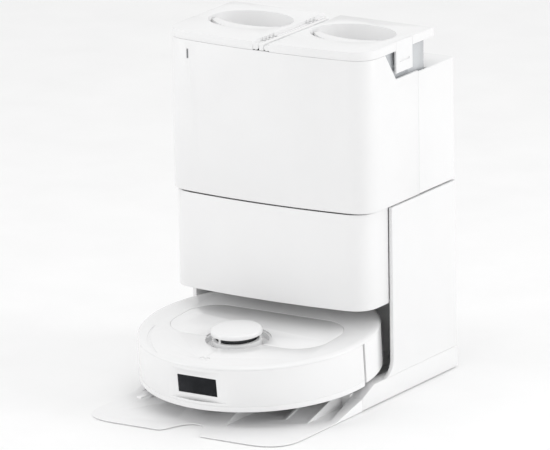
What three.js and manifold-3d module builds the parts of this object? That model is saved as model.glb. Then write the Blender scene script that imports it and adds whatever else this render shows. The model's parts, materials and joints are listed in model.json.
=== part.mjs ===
// A round robot vacuum parked in its cleaning station. Millimetres, +Z up, -Y is the front.
// The origin is on the floor, under the middle of the station's footprint.
import * as THREE from "three";
import { mergeVertices } from "three/addons/utils/BufferGeometryUtils.js";
import Module from "manifold-3d";

const wasm = await Module();
wasm.setup();

// ---- Driving dimensions: station housing
const WIDTH = 340; // housing, side to side
const DEPTH = 487; // back wall to the tip of the ramp
const HEIGHT = 521; // floor to the top of the tank lids
const HOUSING_DEPTH = 255; // back wall to the middle of the front
const BOW = 12.4; // how far the middle of the front stands ahead of its corners
const CORNER = 34; // run of the rounded front corners
const WALL = 4; // outer shells
const SEAM = 0.4; // gap between neighbouring mouldings
const FOOT_HEIGHT = 2;
const RAIL_TOP = 33; // top of the base's side rails
const DECK_Z = 284; // joint between the lower housing and the tank block
const SHOULDER_Z = HEIGHT - 13; // top of the front shell, under the lids
const REAR_DECK_Z = HEIGHT - 56; // low deck behind the tanks
const SIDE_THICKNESS = 5.7; // side panels
const SIDE_FRONT = 63.5; // front edge of the side panels
const SIDE_FOOT = 25; // radius where a side panel runs out into the rail
const INNER_BACK = 160; // front face of the inner back wall
const SHELL_SPLIT = 140; // joint between front shell and rear shell
const CUTOUT_FRONT = 50; // side cut-out that shows the latch: where it starts at the shoulder
const CUTOUT_BOTTOM = 79; // and where its slope ends
const CUTOUT_Z = HEIGHT - 54;

// ---- Driving dimensions: ramp and base
const RAMP_EDGE = 19.6; // height of the ramp's sides at that joint
const LIP = 2.4; // thickness of the flat front of the ramp
const LIP_END = -95; // where the sides start to rise
const RAMP_CORNER = 56;
const TRAY_LIFT = 1.1; // the rim of the ramp stands off the floor
const TRAY_UNDERCUT = 4.5; // width of that rim
const NOTCH_HALF = 25;
const NOTCH_DEPTH = 49;
const TRACK_HALF = 18; // half width of a wheel track
const TRACK_RIB = 4;
const TRACK_FOOT = -112; // where the wheel tracks start to rise
const MIDDLE_HALF = 40; // half width of the caster's ramp
const BASIN_HALF = 150;
const BASIN_FLOOR = 10;
const RIDGE_PITCH = 12;

// ---- Driving dimensions: tanks
const SPINE_HALF = 6; // partition between the tanks
const STRIP_HALF = 3.8; // raised strip on its top
const TANK_INSET = 8; // tank wall behind the housing's outside
const TANK_WALL = 2.5;
const TANK_BACK = 168.5;
const TANK_TOP = SHOULDER_Z - 2;
const LID_BACK = 183.5;
const LID_RIM = 7.6;
const LID_SKIN = 4;
const PIN_X = 9; // lid hinge, from the middle of the station
const PIN_Z = HEIGHT - 8;
const PIN_RADIUS = 1.6;
const BARREL_RADIUS = 4.3;
const KNUCKLE_PITCH = 10;
const KNUCKLE_WIDTH = 4;
const RECESS_X = 86; // middle of the handle recess
const RECESS_Y = 100;
const RECESS_HALF_X = 66;
const RECESS_HALF_Y = 53;
const RECESS_FLOOR = HEIGHT - 26;
const PAN_WALL = 2.5;
const GRIP_Z = HEIGHT - 8.5; // pivot of the handle
const GRIP_WIDTH = 24;
const GRIP_BOW = 27;
const LATCH_START = 80;
const LATCH_LENGTH = 45;
const LATCH_BOTTOM = HEIGHT - 46;
const LATCH_THICKNESS = 3.7;
const LIGHT_X = 129; // status light, left of the middle
const LIGHT_Z = HEIGHT - 33;
const INLET_X = -110;
const CONTACT_X = 40; // charging contacts, from the middle
const CONTACT_HALF = 5;
const CONTACT_Z = 64;
const CONTACT_REACH = 4; // how far they stand out of the inner back wall

// ---- Driving dimensions: robot
const ROBOT_RADIUS = 175;
const ROBOT_TOP = 80; // top of the body above the robot's own floor
const ROBOT_HEIGHT = 96.5; // top of the lidar cap
const DOCK_GAP = 7; // docked robot's back to the inner back wall
const ROBOT_Z = 27;
const ROBOT_PITCH = THREE.MathUtils.degToRad(4.74); // docked nose down
const BAY_CLEARANCE = 18.8; // docked robot's upper back edge to the mouth of the bay
const BAY_TOP =
  ROBOT_Z + ROBOT_RADIUS * Math.sin(ROBOT_PITCH) + ROBOT_TOP * Math.cos(ROBOT_PITCH) + BAY_CLEARANCE;
const CHASSIS_RADIUS = ROBOT_RADIUS - 12.5;
const CHASSIS_BOTTOM = 8;
const CHASSIS_TOP = 20;
const SHELL_RADIUS = ROBOT_RADIUS - 8.5; // body wall behind the bumper
const RIM_RADIUS = ROBOT_RADIUS - 0.2;
const RIM_RUN = 9; // the rim's rounded edge: across
const RIM_DROP = 4.2; // and down
const CRESCENT_RADIUS = 135; // crescent step in the rim: outer and inner edge
const CRESCENT_INNER = 224.6;
const TOP_THICKNESS = 5;
const REAR_SKIRT = 16.5; // lower edge of the rear wall
const BUMPER_BOTTOM = 13;
const BUMPER_WALL = 2.7;
const BUMPER_GAP = 5; // room for the bumper's travel at its ends
const BUMPER_TOP = ROBOT_TOP - TOP_THICKNESS + 0.4;
const BUMPER_SEAM_Z = 20.5; // fine groove above the bumper's lower edge
const FACET_BOTTOM = 25; // slanted flat round the window
const FACET_TOP = 70;
const FACET_DEPTH_LOW = 6.8; // its depth behind the round at its bottom
const FACET_DEPTH_HIGH = 4.8; // and at its top
const FACET_HALF = 52;
const WINDOW_HALF = 32.5;
const WINDOW_BOTTOM = 33;
const WINDOW_TOP = 60;
const COVER_HALF = ROBOT_RADIUS - 45;
const COVER_FRONT = -66;
const COVER_BACK = 56;
const COVER_CORNER = 48;
const COVER_THICKNESS = 2.2;
const LIDAR_Y = -58;
const LIDAR_RADIUS = 37.5;
const LIDAR_WELL = 46;
const LIDAR_WELL_FLOOR = 70;
const LIDAR_BASE_TOP = 82;
const LIDAR_CAP_BOTTOM = 89.5;
const CAP_FILLET = 3.6;
const CAP_CROWN = 0.6; // how far the middle of the cap stands above its edge
const WHEEL_X = ROBOT_RADIUS - 60;
const WHEEL_RADIUS = 35;
const WHEEL_WIDTH = 22;
const AXLE_RADIUS = 4;
const ARM_PIVOT_Y = -46;
const BRUSH_Y = -44;
const BRUSH_HALF = WHEEL_X - 35;
const BRUSH_RADIUS = 18;
const CASTER_Y = 50 - ROBOT_RADIUS;
const CASTER_RADIUS = 13;
const CASTER_TRAIL = 8;
const SIDE_BRUSH_X = 70 - ROBOT_RADIUS;
const SIDE_BRUSH_Y = 70 - ROBOT_RADIUS;
const SIDE_BRUSH_RADIUS = 45;
const MOP_X = 62;
const MOP_RADIUS = 58;
const MOP_Y = WHEEL_RADIUS + MOP_RADIUS + 3;
const MOP_THICKNESS = 6;
const MOP_CLEARANCE = 0.6; // pads above the robot's floor plane
const MOP_LIFT = 8;
const BIN_HALF = WHEEL_X - 45;
const BIN_FRONT = -2;
const BIN_BACK = 52;
const MOP_SHAFT = 11;
const BUTTON_RADIUS = 3.4;
const BUTTON_X = 4.6;
const BUTTON_Y = 29 - ROBOT_RADIUS;
const FAN_Y = WHEEL_RADIUS + 35;
const FAN_X = -Math.sqrt((ROBOT_RADIUS - 38) ** 2 - FAN_Y ** 2);
const FLOOR_GAP = 0.5; // ramp and washboard below the robot's floor plane

// ---- Worked-out places
const HALF = WIDTH / 2;
const BACK = DEPTH / 2;
const FRONT = BACK - HOUSING_DEPTH;
const TIP = -DEPTH / 2;
const ROBOT_BACK = Math.max(ROBOT_RADIUS, MOP_Y + MOP_RADIUS + 4);
const ROBOT_Y = INNER_BACK - DOCK_GAP - ROBOT_BACK;
const RAMP_SEAM = ROBOT_Y - 2; // joint between ramp and base, under the wheels
const BAY_HALF = HALF - SIDE_THICKNESS - SEAM;
const LID_BOTTOM = SHOULDER_Z + SEAM;

// ---- Finishes
const finish = (color, roughness, metalness = 0) =>
  new THREE.MeshStandardMaterial({ color, roughness, metalness });
const WHITE = finish(0xf1f1f0, 0.35);
const INNER_WHITE = finish(0xdcdcdb, 0.5);
const GREY = finish(0x8f9296, 0.5);
const DARK = finish(0x3a3c40, 0.45);
const GLOSS_BLACK = finish(0x14161a, 0.1);
const RUBBER = finish(0x2b2b2d, 0.85);
const TANK = finish(0xc9cdd0, 0.2);
const STEEL = finish(0xb9bcc0, 0.3, 1);
const FABRIC = finish(0xb8bbbf, 0.95);
const LIGHT = finish(0xcfd6da, 0.3);

// ---- Solids: joining, cutting and plain shapes
function toSolid(geometry) {
  const bare = geometry.clone();
  bare.deleteAttribute("normal");
  bare.deleteAttribute("uv");
  const merged = mergeVertices(bare, 1e-4);
  return new wasm.Manifold(
    new wasm.Mesh({
      numProp: 3,
      vertProperties: merged.attributes.position.array,
      triVerts: new Uint32Array(merged.index.array),
    }),
  );
}

function toGeometry(solid) {
  const mesh = solid.getMesh();
  const geometry = new THREE.BufferGeometry();
  geometry.setAttribute("position", new THREE.BufferAttribute(mesh.vertProperties, 3));
  geometry.setIndex(new THREE.BufferAttribute(mesh.triVerts, 1));
  geometry.computeVertexNormals();
  return geometry;
}

const join = (...shapes) => toGeometry(shapes.map(toSolid).reduce((sum, shape) => sum.add(shape)));
const cut = (body, ...tools) =>
  toGeometry(tools.map(toSolid).reduce((rest, tool) => rest.subtract(tool), toSolid(body)));
const overlap = (a, b) => toGeometry(toSolid(a).intersect(toSolid(b)));

function box(x0, x1, y0, y1, z0, z1) {
  const geometry = new THREE.BoxGeometry(x1 - x0, y1 - y0, z1 - z0);
  return geometry.translate((x0 + x1) / 2, (y0 + y1) / 2, (z0 + z1) / 2);
}

// A box to one side of the middle plane: side is 1 for right, -1 for left.
const sideBox = (side, x0, x1, ...rest) =>
  side > 0 ? box(x0, x1, ...rest) : box(-x1, -x0, ...rest);

const rodX = (radius, x0, x1, y, z, sides = 24) =>
  new THREE.CylinderGeometry(radius, radius, x1 - x0, sides)
    .rotateZ(Math.PI / 2)
    .translate((x0 + x1) / 2, y, z);
const rodY = (radius, x, y0, y1, z, sides = 24) =>
  new THREE.CylinderGeometry(radius, radius, y1 - y0, sides).translate(x, (y0 + y1) / 2, z);
const rodZ = (radius, x, y, z0, z1, sides = 24) =>
  new THREE.CylinderGeometry(radius, radius, z1 - z0, sides)
    .rotateX(Math.PI / 2)
    .translate(x, y, (z0 + z1) / 2);

const outline = (...points) => new THREE.Shape(points.map(([u, v]) => new THREE.Vector2(u, v)));

function extrude(shape, depth, curveSegments = 10) {
  return new THREE.ExtrudeGeometry(shape, { depth, bevelEnabled: false, curveSegments });
}

// The outline is drawn in X and Y and stands along Z.
const prismZ = (shape, z0, z1, steps) => extrude(shape, z1 - z0, steps).translate(0, 0, z0);

// The outline is drawn in Y and Z and runs along X.
function prismX(shape, x0, x1, steps) {
  const turn = new THREE.Matrix4().makeBasis(
    new THREE.Vector3(0, 1, 0),
    new THREE.Vector3(0, 0, 1),
    new THREE.Vector3(1, 0, 0),
  );
  return extrude(shape, x1 - x0, steps).applyMatrix4(turn).translate(x0, 0, 0);
}

function ring(inner, outer, x, y, z0, z1, sides = 32) {
  return cut(
    rodZ(outer, x, y, z0, z1, sides),
    rodZ(inner, x, y, z0 - 1, z1 + 1, sides),
  );
}

// A body turned about the Z axis from points of radius and height.
function turn(profile, sides) {
  const points = profile.map(([r, z]) => new THREE.Vector2(r, z));
  return new THREE.LatheGeometry(points, sides).rotateX(Math.PI / 2);
}

function roundedRect(x0, x1, y0, y1, radius) {
  const shape = new THREE.Shape();
  shape.absarc(x1 - radius, y0 + radius, radius, -Math.PI / 2, 0);
  shape.absarc(x1 - radius, y1 - radius, radius, 0, Math.PI / 2);
  shape.absarc(x0 + radius, y1 - radius, radius, Math.PI / 2, Math.PI);
  shape.absarc(x0 + radius, y0 + radius, radius, Math.PI, 1.5 * Math.PI);
  return shape;
}

function ellipse(x, y, halfX, halfY) {
  const shape = new THREE.Shape();
  shape.absellipse(x, y, halfX, halfY, 0, 2 * Math.PI);
  return shape;
}

// ---- The housing's plan: a bowed front between two rounded corners
const bowSlope = (x) => (2 * BOW * x) / HALF ** 2;
const bowAt = (x, inset) => FRONT + inset + BOW * (x / HALF) ** 2;

// Draws the front from one side to the other; from is 1 to start on the right.
function drawFront(path, halfWidth, inset, from) {
  const start = halfWidth - CORNER;
  const startY = bowAt(start, inset);
  const cornerY = startY + bowSlope(start) * CORNER;
  path.lineTo(from * halfWidth, cornerY + CORNER);
  path.quadraticCurveTo(from * halfWidth, cornerY, from * start, startY);
  path.quadraticCurveTo(0, startY - bowSlope(start) * start, -from * start, startY);
  path.quadraticCurveTo(-from * halfWidth, cornerY, -from * halfWidth, cornerY + CORNER);
}

function housingPlan(halfWidth, inset, back) {
  const shape = new THREE.Shape();
  shape.moveTo(halfWidth, back);
  drawFront(shape, halfWidth, inset, 1);
  shape.lineTo(-halfWidth, back);
  return shape;
}

// The same front as a wall, open at the back.
function housingWallPlan(halfWidth, inset, back, wall) {
  const shape = new THREE.Shape();
  shape.moveTo(halfWidth, back);
  drawFront(shape, halfWidth, inset, 1);
  shape.lineTo(-halfWidth, back);
  shape.lineTo(-halfWidth + wall, back);
  drawFront(shape, halfWidth - wall, inset + wall, -1);
  shape.lineTo(halfWidth - wall, back);
  return shape;
}

// One half of the plan, from innerX to outerX.
function halfPlan(side, innerX, outerX, inset, back) {
  const start = outerX - CORNER;
  const startY = bowAt(start, inset);
  const cornerY = startY + bowSlope(start) * CORNER;
  const middle = (start + innerX) / 2;
  const shape = new THREE.Shape();
  shape.moveTo(side * innerX, back);
  shape.lineTo(side * outerX, back);
  shape.lineTo(side * outerX, cornerY + CORNER);
  shape.quadraticCurveTo(side * outerX, cornerY, side * start, startY);
  shape.quadraticCurveTo(
    side * middle,
    startY - bowSlope(start) * (start - middle),
    side * innerX,
    bowAt(innerX, inset),
  );
  return shape;
}

// ---- Assembly
const model = new THREE.Group();
const robot = new THREE.Group();
robot.position.set(0, ROBOT_Y, ROBOT_Z);
robot.rotation.x = ROBOT_PITCH;
model.add(robot);

function piece(parent, name, geometry, material) {
  const mesh = new THREE.Mesh(geometry, material);
  mesh.name = name;
  parent.add(mesh);
}

// Height of the docked robot's floor plane above a place in the station.
const robotFloorAt = (y) => ROBOT_Z + (y - ROBOT_Y) * Math.tan(ROBOT_PITCH);

// ---- Station: ramp, base and basin
function rampPlan(inset) {
  const shape = new THREE.Shape();
  const half = HALF - inset;
  const tip = TIP + inset;
  const notch = NOTCH_HALF + inset;
  const mouth = notch + 12;
  const notchTop = tip + NOTCH_DEPTH;
  shape.moveTo(half, RAMP_SEAM + 1);
  shape.lineTo(-half, RAMP_SEAM + 1);
  shape.lineTo(-half, tip + RAMP_CORNER);
  shape.quadraticCurveTo(-half, tip, -half + RAMP_CORNER, tip);
  shape.lineTo(-mouth, tip);
  shape.bezierCurveTo(-notch, tip, -notch, notchTop, 0, notchTop);
  shape.bezierCurveTo(notch, notchTop, notch, tip, mouth, tip);
  shape.lineTo(half - RAMP_CORNER, tip);
  shape.quadraticCurveTo(half, tip, half, tip + RAMP_CORNER);
  return shape;
}

function rampTray() {
  const seamTop = robotFloorAt(RAMP_SEAM) - FLOOR_GAP;
  const underRobot = (y) => [y, robotFloorAt(y) - FLOOR_GAP];
  const floorLine = outline([TIP - 1, 0], [RAMP_SEAM, 0], [RAMP_SEAM, LIP], [TIP - 1, LIP]);
  const edgeLine = outline([LIP_END, 1], [RAMP_SEAM, 1], [RAMP_SEAM, RAMP_EDGE], [LIP_END, LIP]);
  const casterFoot = TIP + NOTCH_DEPTH + 6;
  const middleLine = outline(
    [casterFoot, 1],
    [RAMP_SEAM, 1],
    [RAMP_SEAM, seamTop],
    underRobot(casterFoot + 38),
    [casterFoot, LIP],
  );
  const trackLine = outline([TRACK_FOOT, 1], [RAMP_SEAM, 1], [RAMP_SEAM, seamTop], [TRACK_FOOT, LIP]);
  const ribLine = outline(
    [TRACK_FOOT - 6, 1],
    [RAMP_SEAM, 1],
    [RAMP_SEAM, seamTop],
    underRobot(RAMP_SEAM - 10),
    [TRACK_FOOT - 6, LIP],
  );
  const pieces = [prismX(floorLine, -HALF, HALF), prismX(middleLine, -MIDDLE_HALF, MIDDLE_HALF)];
  for (const side of [-1, 1]) {
    const inner = side * (WHEEL_X - TRACK_HALF);
    const outer = side * (WHEEL_X + TRACK_HALF);
    pieces.push(prismX(trackLine, Math.min(inner, outer), Math.max(inner, outer)));
    pieces.push(prismX(ribLine, inner - TRACK_RIB / 2, inner + TRACK_RIB / 2));
    pieces.push(prismX(ribLine, outer - TRACK_RIB / 2, outer + TRACK_RIB / 2));
    const edgePlan = outline(
      [side * (HALF + 1), LIP_END - 1],
      [side * (HALF + 1), RAMP_SEAM + 1],
      [side * BASIN_HALF, RAMP_SEAM + 1],
      [side * (BASIN_HALF + 9), LIP_END - 1],
    );
    pieces.push(overlap(prismX(edgeLine, -HALF, HALF), prismZ(edgePlan, 0, RAIL_TOP)));
  }
  const sheet = overlap(join(...pieces), prismZ(rampPlan(0), TRAY_LIFT, 60));
  const sole = overlap(prismX(floorLine, -HALF, HALF), prismZ(rampPlan(TRAY_UNDERCUT), -1, 60));
  piece(model, "ramp_tray", join(sheet, sole), WHITE);
}

function basePlate() {
  const line = outline(
    [RAMP_SEAM + SEAM, FOOT_HEIGHT],
    [BACK, FOOT_HEIGHT],
    [BACK, RAIL_TOP],
    [RAMP_SEAM + RAIL_TOP, RAIL_TOP],
    [RAMP_SEAM + SEAM, RAMP_EDGE],
  );
  const well = box(
    -BASIN_HALF,
    BASIN_HALF,
    RAMP_SEAM - 1,
    INNER_BACK - SEAM,
    BASIN_FLOOR,
    RAIL_TOP + 1,
  );
  piece(model, "base_plate", cut(prismX(line, -HALF, HALF), well), WHITE);
}

function washBasin() {
  const half = BASIN_HALF - SEAM;
  const front = RAMP_SEAM + SEAM;
  const back = INNER_BACK - 2 * SEAM;
  const bottom = BASIN_FLOOR + SEAM;
  const floor = bottom + TANK_WALL;
  const rim = RAMP_EDGE + 4;
  const tray = cut(
    box(-half, half, front, back, bottom, rim),
    box(-half + TANK_WALL, half - TANK_WALL, front + TANK_WALL, back - TANK_WALL, floor, rim + 1),
  );
  const ridges = [];
  const mopCentre = ROBOT_Y + MOP_Y;
  for (let y = mopCentre - MOP_RADIUS + RIDGE_PITCH; y < mopCentre + MOP_RADIUS; y += RIDGE_PITCH) {
    const reach = Math.sqrt(MOP_RADIUS ** 2 - (y - mopCentre) ** 2);
    const top = robotFloorAt(y) - 2 * FLOOR_GAP;
    for (const x of [-MOP_X, MOP_X]) {
      ridges.push(box(x - reach, x + reach, y - 1.5, y + 1.5, bottom + 1, top));
    }
  }
  piece(model, "wash_basin", join(tray, ...ridges), INNER_WHITE);
}

function feet() {
  const radius = 11;
  const inset = 28;
  for (const [end, y] of [
    ["front", RAMP_SEAM + inset],
    ["rear", BACK - inset],
  ]) {
    piece(model, "foot_" + end + "_left", rodZ(radius, inset - HALF, y, 0, FOOT_HEIGHT - SEAM), RUBBER);
    piece(model, "foot_" + end + "_right", rodZ(radius, HALF - inset, y, 0, FOOT_HEIGHT - SEAM), RUBBER);
  }
}

// ---- Station: lower housing
function sidePanel(side, name) {
  const footY = SIDE_FRONT - SIDE_FOOT;
  const bottom = RAIL_TOP + SEAM;
  const top = DECK_Z - 6 * SEAM;
  const line = new THREE.Shape();
  line.moveTo(footY, bottom);
  line.absarc(footY, bottom + SIDE_FOOT, SIDE_FOOT, -Math.PI / 2, 0);
  line.lineTo(SIDE_FRONT, top);
  line.lineTo(BACK, top);
  line.lineTo(BACK, bottom);
  const radius = SIDE_THICKNESS - SEAM;
  const inner = HALF - SIDE_THICKNESS;
  const plan = new THREE.Shape();
  plan.moveTo(side * inner, footY - 1);
  plan.lineTo(side * HALF, footY - 1);
  plan.lineTo(side * HALF, BACK - radius);
  plan.quadraticCurveTo(side * HALF, BACK, side * (HALF - radius), BACK);
  plan.lineTo(side * inner, BACK);
  const slab = side > 0 ? prismX(line, inner, HALF) : prismX(line, -HALF, -inner);
  piece(model, name, overlap(slab, prismZ(plan, 0, HEIGHT, 5)), WHITE);
}

function innerBackWall() {
  const wall = box(
    -BAY_HALF,
    BAY_HALF,
    INNER_BACK,
    INNER_BACK + WALL,
    RAIL_TOP + SEAM,
    DECK_Z - 6 * SEAM,
  );
  const dustPort = box(-32, 32, INNER_BACK - 1, INNER_BACK + WALL + 1, 72, 98);
  const pockets = [-1, 1].map((side) => {
    const half = CONTACT_HALF + SEAM;
    const x = side * CONTACT_X;
    return box(
      x - half, x + half, INNER_BACK - 1, INNER_BACK + WALL + 1, CONTACT_Z - half, CONTACT_Z + half,
    );
  });
  piece(model, "inner_back_wall", cut(wall, dustPort, ...pockets), INNER_WHITE);
}

function chargingContacts() {
  for (const [side, name] of [[-1, "charge_contact_left"], [1, "charge_contact_right"]]) {
    const x = side * CONTACT_X;
    const shank = CONTACT_HALF - 1;
    const head = box(
      x - CONTACT_HALF,
      x + CONTACT_HALF,
      INNER_BACK - CONTACT_REACH,
      INNER_BACK + WALL - 1,
      CONTACT_Z - CONTACT_HALF,
      CONTACT_Z + CONTACT_HALF,
    );
    const stem = box(
      x - shank, x + shank, INNER_BACK, INNER_BACK + 10, CONTACT_Z - shank, CONTACT_Z + shank,
    );
    piece(model, name, join(head, stem), STEEL);
  }
}

function bayCeiling() {
  const plan = housingPlan(HALF - SIDE_THICKNESS - WALL, WALL, INNER_BACK - SEAM);
  piece(model, "bay_ceiling", prismZ(plan, BAY_TOP + SEAM, BAY_TOP + WALL), INNER_WHITE);
}

function dustDoor() {
  const plan = housingWallPlan(HALF - SIDE_THICKNESS - SEAM, 0, SIDE_FRONT - 1, WALL - 1);
  piece(model, "dust_door", prismZ(plan, BAY_TOP, DECK_Z - 5 * SEAM), WHITE);
}

function dustBag() {
  const bag = prismZ(roundedRect(-140, 4, 14, 128, 24), BAY_TOP + 12, DECK_Z - 22, 4);
  const collar = box(-110, -26, 124, 133, BAY_TOP + 34, BAY_TOP + 104);
  piece(model, "dust_bag", join(bag, collar), FABRIC);
}

function suctionMotor() {
  const profile = [
    [0, 0], [30, 0], [52, 14], [52, 84], [40, 92], [40, 116], [16, 122], [0, 122],
  ].map(([r, z]) => new THREE.Vector2(r, z));
  const body = new THREE.LatheGeometry(profile, 28).rotateX(Math.PI / 2);
  piece(model, "suction_motor", body.translate(84, 84, BAY_TOP + WALL + SEAM), DARK);
}

function backCover() {
  const wall = box(-BAY_HALF, BAY_HALF, BACK - WALL, BACK, RAIL_TOP + SEAM, DECK_Z - 6 * SEAM);
  const socket = box(
    INLET_X - 16 - SEAM, INLET_X + 16 + SEAM, BACK - WALL - 1, BACK + 1, 52 - SEAM, 76 + SEAM,
  );
  piece(model, "back_cover", cut(wall, socket), WHITE);
}

function powerInlet() {
  const body = box(INLET_X - 16, INLET_X + 16, BACK - 26, BACK - 1, 52, 76);
  const mouth = box(INLET_X - 12, INLET_X + 12, BACK - 16, BACK, 56, 72);
  const pins = [-6, 6].map((x) => rodY(2, INLET_X + x, BACK - 17, BACK - 6, 64, 10));
  piece(model, "power_inlet", join(cut(body, mouth), ...pins), DARK);
}

function innerMachinery() {
  const pump = join(
    box(60, 124, 182, 226, 40, 92),
    rodY(9, 92, 176, 183, 70, 14),
    rodZ(7, 74, 204, 91, 110, 14),
    rodZ(7, 110, 204, 91, 110, 14),
  );
  piece(model, "water_pump", pump, GREY);
  const board = join(
    box(-130, 20, 180, 181.6, 110, 230),
    box(-110, -70, 181, 192, 130, 160),
    box(-40, -10, 181, 196, 180, 214),
  );
  piece(model, "control_board", board, GREY);
}

// ---- Station: tank block
function tankDeck() {
  const plan = housingPlan(HALF - WALL - SEAM, WALL + SEAM, BACK - WALL - SEAM);
  piece(model, "tank_deck", prismZ(plan, DECK_Z - 4 * SEAM, DECK_Z + WALL), INNER_WHITE);
}

function frontShell() {
  const wall = prismZ(housingWallPlan(HALF, 0, SHELL_SPLIT - SEAM, WALL), DECK_Z + SEAM, SHOULDER_Z);
  const opening = outline(
    [CUTOUT_FRONT, SHOULDER_Z + 0.01],
    [CUTOUT_BOTTOM, CUTOUT_Z],
    [SHELL_SPLIT + 1, CUTOUT_Z],
    [SHELL_SPLIT + 1, SHOULDER_Z + 0.01],
  );
  const slot = box(-LIGHT_X - 1.6, -LIGHT_X + 1.6, FRONT - 5, FRONT + 30, LIGHT_Z - 7, LIGHT_Z + 7);
  piece(model, "front_shell", cut(wall, prismX(opening, -HALF - 1, HALF + 1), slot), WHITE);
}

function statusLight() {
  const y = bowAt(LIGHT_X, 0);
  const bar = box(-LIGHT_X - 1.2, -LIGHT_X + 1.2, y + 0.6, y + WALL + 2, LIGHT_Z - 6.6, LIGHT_Z + 6.6);
  piece(model, "status_light", bar, LIGHT);
}

function rearShell() {
  const radius = 8;
  const outer = roundedRect(-HALF, HALF, SHELL_SPLIT - 40, BACK, radius);
  const solid = prismZ(outer, DECK_Z + SEAM, REAR_DECK_Z, 5);
  const front = box(-HALF - 1, HALF + 1, 0, SHELL_SPLIT, 0, HEIGHT);
  const hollow = box(-HALF + WALL, HALF - WALL, 0, BACK - WALL, 0, REAR_DECK_Z - WALL);
  const tankRoom = box(-HALF + WALL, HALF - WALL, 0, TANK_BACK + 2, 0, HEIGHT);
  piece(model, "rear_shell", cut(solid, front, hollow, tankRoom), WHITE);
}

function centreSpine() {
  const front = bowAt(0, WALL + 2 * SEAM);
  const wall = box(-SPINE_HALF, SPINE_HALF, front, TANK_BACK, DECK_Z + WALL + SEAM, TANK_TOP - 1);
  const strip = box(-STRIP_HALF, STRIP_HALF, front + 1, TANK_BACK, TANK_TOP - 2, HEIGHT - 2.4);
  const nose = box(-STRIP_HALF, STRIP_HALF, FRONT + 1, front + 2, SHOULDER_Z + SEAM, HEIGHT - 2.4);
  piece(model, "centre_spine", join(wall, strip, nose), WHITE);
}

// Places of the hinge knuckles along Y: four in front, three behind.
function knucklePlaces() {
  const front = [0, 1, 2, 3].map((i) => 14 + i * KNUCKLE_PITCH);
  const rear = [0, 1, 2].map((i) => 134 + i * KNUCKLE_PITCH);
  return [...front, ...rear];
}

function tankBody(side, name) {
  const inner = SPINE_HALF + 2;
  const outer = HALF - TANK_INSET;
  const bottom = DECK_Z + WALL + SEAM;
  const shell = cut(
    prismZ(halfPlan(side, inner, outer, TANK_INSET, TANK_BACK), bottom, TANK_TOP, 6),
    prismZ(
      halfPlan(side, inner + TANK_WALL, outer - TANK_WALL, TANK_INSET + TANK_WALL, TANK_BACK - TANK_WALL),
      bottom + TANK_WALL,
      TANK_TOP + 1,
      6,
    ),
  );
  const latchEnd = LATCH_START + LATCH_LENGTH;
  const rib = sideBox(
    side, outer - 1, outer + 2.8, LATCH_START + 4, latchEnd - 4, LATCH_BOTTOM + 7, LATCH_BOTTOM + 10,
  );
  const knuckles = knucklePlaces().map((y) =>
    sideBox(
      side,
      PIN_X - 2.8,
      PIN_X + 2.4,
      y - KNUCKLE_WIDTH / 2,
      y + KNUCKLE_WIDTH / 2,
      TANK_TOP - 3,
      PIN_Z + 2.8,
    ),
  );
  const bore = rodY(PIN_RADIUS + 0.3, side * PIN_X, 0, 180, PIN_Z, 12);
  piece(model, name + "_tank", cut(join(shell, rib, ...knuckles), bore), TANK);
}

function hingePin(side, name) {
  const places = knucklePlaces();
  const pin = rodY(PIN_RADIUS, side * PIN_X, places[0] - 6, places[places.length - 1] + 6, PIN_Z, 12);
  piece(model, name + "_hinge_pin", pin, STEEL);
}

function lidSeal(side, name) {
  const plan = (inset) =>
    halfPlan(
      side,
      SPINE_HALF + 2 + TANK_WALL + 1.5 + inset,
      HALF - TANK_INSET - TANK_WALL - 1.5 - inset,
      TANK_INSET + TANK_WALL + 0.5 + inset,
      TANK_BACK - TANK_WALL - 0.5 - inset,
    );
  const gasket = cut(
    prismZ(plan(0), TANK_TOP - 6, LID_BOTTOM - SEAM, 5),
    prismZ(plan(2), TANK_TOP - 7, LID_BOTTOM + 1, 5),
  );
  piece(model, name + "_lid_seal", gasket, RUBBER);
}

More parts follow.
